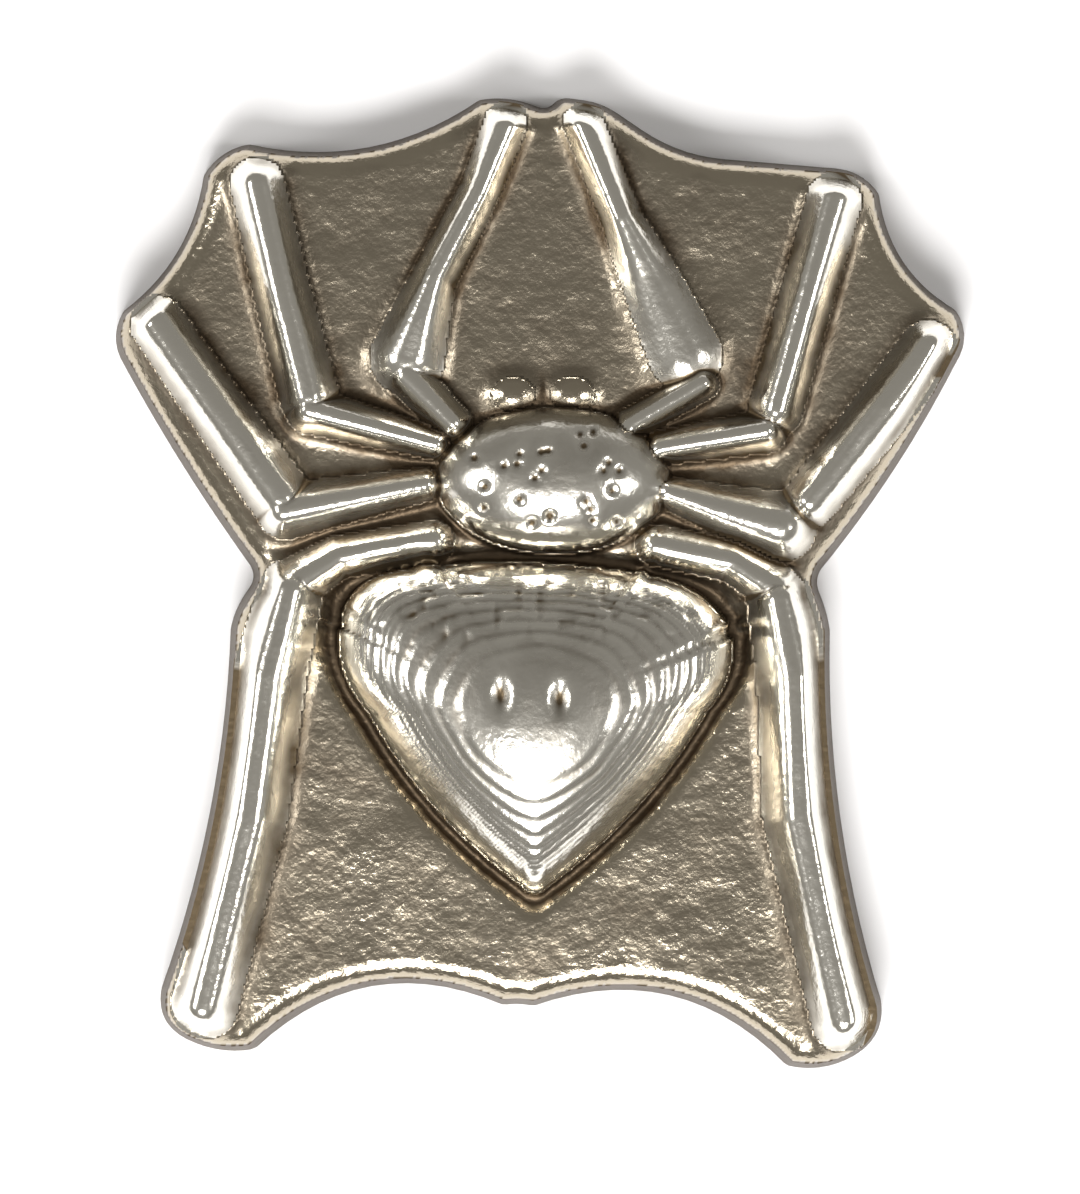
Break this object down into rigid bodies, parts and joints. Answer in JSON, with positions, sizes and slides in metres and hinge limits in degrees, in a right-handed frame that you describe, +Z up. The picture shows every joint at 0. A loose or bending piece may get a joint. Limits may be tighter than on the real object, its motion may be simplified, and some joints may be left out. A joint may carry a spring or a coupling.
{
  "type": "cast silver spider bar",
  "caption": "Cast fine-silver bar: a spider in high relief on a scalloped plate with a flat back.",
  "frame": {"origin": "centre of the flat back, under the middle of the plate's outline", "axes": "+Z up out of the flat back, +Y from the hind feet to the head end, +X to the right seen from above"},
  "size_m": [0.0446, 0.051, 0.0093],
  "materials": {
    "toned_silver": "satin",
    "bright_silver": "polished"
  },
  "bodies": {
    "root": {"web_plate": "toned_silver", "abdomen": "bright_silver", "cephalothorax": "bright_silver", "palp_left": "toned_silver", "palp_right": "toned_silver", "leg_1_left": "bright_silver", "leg_2_left": "bright_silver", "leg_3_left": "bright_silver", "leg_4_left": "bright_silver", "leg_1_right": "bright_silver", "leg_2_right": "bright_silver", "leg_3_right": "bright_silver", "leg_4_right": "bright_silver"}
  },
  "joints": []
}
